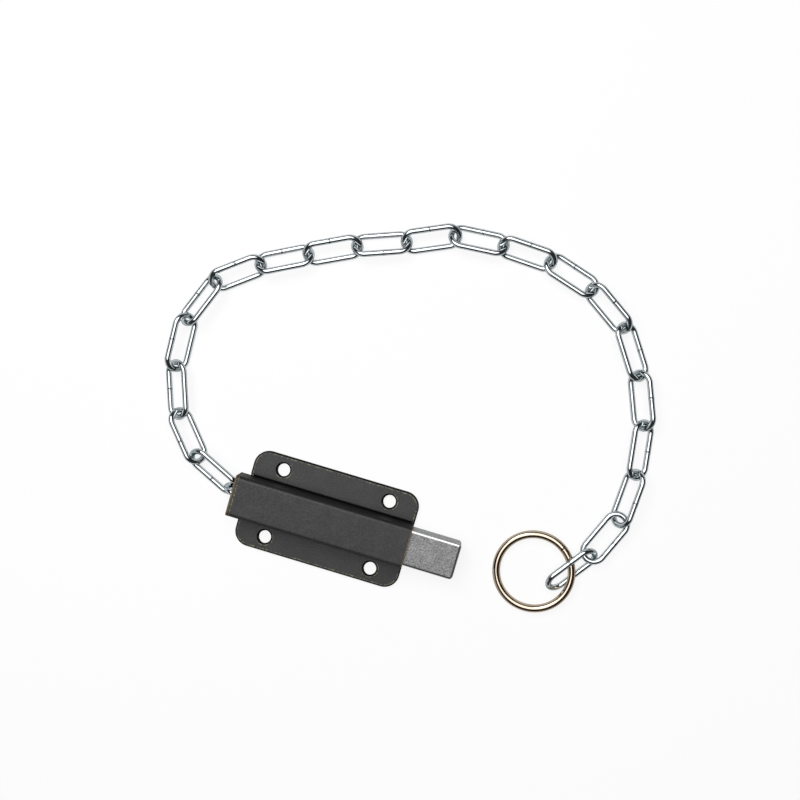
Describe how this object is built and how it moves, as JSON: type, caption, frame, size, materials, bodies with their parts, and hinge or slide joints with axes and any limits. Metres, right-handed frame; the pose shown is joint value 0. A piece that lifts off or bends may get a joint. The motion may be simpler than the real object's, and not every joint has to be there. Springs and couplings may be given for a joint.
{
  "type": "spring-loaded pull-chain bolt",
  "caption": "Surface-mounted spring bolt in a folded black steel case, drawn back by a long-link chain with a round pull ring.",
  "frame": {"origin": "centre of the four screw holes, on the back face that lies on the door", "axes": "+X is the way the bolt shoots, +Z points out of the door, +Y is the side the chain's loop lies on"},
  "size_m": [0.2572, 0.1943, 0.0172],
  "materials": {
    "black_powder_coat": "satin black powder coat",
    "galvanised_bar": "dull mottled galvanised steel",
    "plain_steel": "plain zinc plated steel",
    "spring_steel": "drawn spring wire",
    "zinc_chain": "bright zinc plate",
    "nickel_ring": "polished nickel plate"
  },
  "bodies": {
    "housing": {"case": "black_powder_coat", "back_plate": "black_powder_coat", "spring_stop": "plain_steel", "spring": "spring_steel"},
    "bolt": {"bolt": "galvanised_bar", "draw_rod": "plain_steel"},
    "link_00": {"link_00": "zinc_chain"},
    "link_01": {"link_01": "zinc_chain"},
    "link_02": {"link_02": "zinc_chain"},
    "link_03": {"link_03": "zinc_chain"},
    "link_04": {"link_04": "zinc_chain"},
    "link_05": {"link_05": "zinc_chain"},
    "link_06": {"link_06": "zinc_chain"},
    "link_07": {"link_07": "zinc_chain"},
    "link_08": {"link_08": "zinc_chain"},
    "link_09": {"link_09": "zinc_chain"},
    "link_10": {"link_10": "zinc_chain"},
    "link_11": {"link_11": "zinc_chain"},
    "link_12": {"link_12": "zinc_chain"},
    "link_13": {"link_13": "zinc_chain"},
    "link_14": {"link_14": "zinc_chain"},
    "link_15": {"link_15": "zinc_chain"},
    "link_16": {"link_16": "zinc_chain"},
    "link_17": {"link_17": "zinc_chain"},
    "link_18": {"link_18": "zinc_chain"},
    "link_19": {"link_19": "zinc_chain"},
    "link_20": {"link_20": "zinc_chain"},
    "ring": {"pull_ring": "nickel_ring"}
  },
  "joints": [
    {"name": "bolt_slide", "type": "slide", "parent": "housing", "child": "bolt", "axis": [-1, 0, 0], "range_m": [0, 0.0265], "stiffness_N_per_m": 1050, "springref_m": -0.015, "deforming": ["spring"]},
    {"name": "link_00_swing", "type": "hinge", "parent": "bolt", "child": "link_00", "pos_m": [-0.0255, 0, 0.00821], "axis": [0, 0, 1], "range_deg": [-3, 17]},
    {"name": "link_01_swing", "type": "hinge", "parent": "link_00", "child": "link_01", "pos_m": [-0.05053, 0.00149, 0.00624], "axis": [-0.333, -0.7142, -0.6157], "range_deg": [-45, 30]},
    {"name": "link_02_swing", "type": "hinge", "parent": "link_01", "child": "link_02", "pos_m": [-0.07681, 0.01375, 0.00624], "axis": [-0.333, -0.7142, -0.6157], "range_deg": [-85, 85]},
    {"name": "link_03_swing", "type": "hinge", "parent": "link_02", "child": "link_03", "pos_m": [-0.09132, 0.03279, 0.00532], "axis": [0.551, 0.4624, -0.6947], "range_deg": [-85, 65]},
    {"name": "link_04_swing", "type": "hinge", "parent": "link_03", "child": "link_04", "pos_m": [-0.09897, 0.05705, 0.00441], "axis": [0.8018, 0.2761, 0.5299], "range_deg": [-76, 85]},
    {"name": "link_05_swing", "type": "hinge", "parent": "link_04", "child": "link_05", "pos_m": [-0.09998, 0.0786, 0.00511], "axis": [0.6998, -0.2827, 0.6561], "range_deg": [-85, 85]},
    {"name": "link_06_swing", "type": "hinge", "parent": "link_05", "child": "link_06", "pos_m": [-0.09164, 0.10221, 0.00466], "axis": [0.493, -0.6542, -0.5736], "range_deg": [-85, 75]},
    {"name": "link_07_swing", "type": "hinge", "parent": "link_06", "child": "link_07", "pos_m": [-0.06848, 0.11966, 0.00466], "axis": [0.493, -0.6542, -0.5736], "range_deg": [-85, 85]},
    {"name": "link_08_swing", "type": "hinge", "parent": "link_07", "child": "link_08", "pos_m": [-0.04548, 0.13105, 0.00458], "axis": [-0.3764, 0.7387, -0.5592], "range_deg": [-85, 85]},
    {"name": "link_09_swing", "type": "hinge", "parent": "link_08", "child": "link_09", "pos_m": [-0.02544, 0.14099, 0.0045], "axis": [-0.2868, 0.7881, -0.5446], "range_deg": [-85, 85]},
    {"name": "link_10_swing", "type": "hinge", "parent": "link_09", "child": "link_10", "pos_m": [0.00181, 0.1509, 0.0045], "axis": [-0.2868, 0.7881, -0.5446], "range_deg": [-30, 22]},
    {"name": "link_11_swing", "type": "hinge", "parent": "link_10", "child": "link_11", "pos_m": [0.02128, 0.16048, 0.00433], "axis": [0.0598, -0.8551, 0.515], "range_deg": [-48, 16]},
    {"name": "link_12_swing", "type": "hinge", "parent": "link_11", "child": "link_12", "pos_m": [0.05021, 0.1625, 0.00433], "axis": [-0.0598, 0.8551, -0.515], "range_deg": [-85, 22]},
    {"name": "link_13_swing", "type": "hinge", "parent": "link_12", "child": "link_13", "pos_m": [0.07243, 0.16156, 0.00391], "axis": [-0.2628, -0.8595, 0.4384], "range_deg": [-10, 85]},
    {"name": "link_14_swing", "type": "hinge", "parent": "link_13", "child": "link_14", "pos_m": [0.10017, 0.15308, 0.00391], "axis": [-0.2628, -0.8595, 0.4384], "range_deg": [-14, 85]},
    {"name": "link_15_swing", "type": "hinge", "parent": "link_14", "child": "link_15", "pos_m": [0.11873, 0.14066, 0.00466], "axis": [0.6791, 0.4581, -0.5736], "range_deg": [-85, 85]},
    {"name": "link_16_swing", "type": "hinge", "parent": "link_15", "child": "link_16", "pos_m": [0.13495, 0.11662, 0.00466], "axis": [0.6791, 0.4581, -0.5736], "range_deg": [-85, 85]},
    {"name": "link_17_swing", "type": "hinge", "parent": "link_16", "child": "link_17", "pos_m": [0.14429, 0.09259, 0.00496], "axis": [-0.7206, -0.2911, -0.6293], "range_deg": [-85, 85]},
    {"name": "link_18_swing", "type": "hinge", "parent": "link_17", "child": "link_18", "pos_m": [0.14747, 0.06708, 0.00481], "axis": [0.7909, 0.1111, -0.6018], "range_deg": [-85, 85]},
    {"name": "link_19_swing", "type": "hinge", "parent": "link_18", "child": "link_19", "pos_m": [0.14581, 0.04135, 0.00559], "axis": [0, 0, -1], "range_deg": [-85, 85]},
    {"name": "link_20_swing", "type": "hinge", "parent": "link_19", "child": "link_20", "pos_m": [0.13808, 0.02391, 0.00539], "axis": [0, 0, 1], "range_deg": [-68, 85]},
    {"name": "ring_swing", "type": "hinge", "parent": "link_20", "child": "ring", "pos_m": [0.12956, 0.01218, 0.00535], "axis": [-0.5721, 0.4156, 0.7071], "range_deg": [0, 76]}
  ]
}
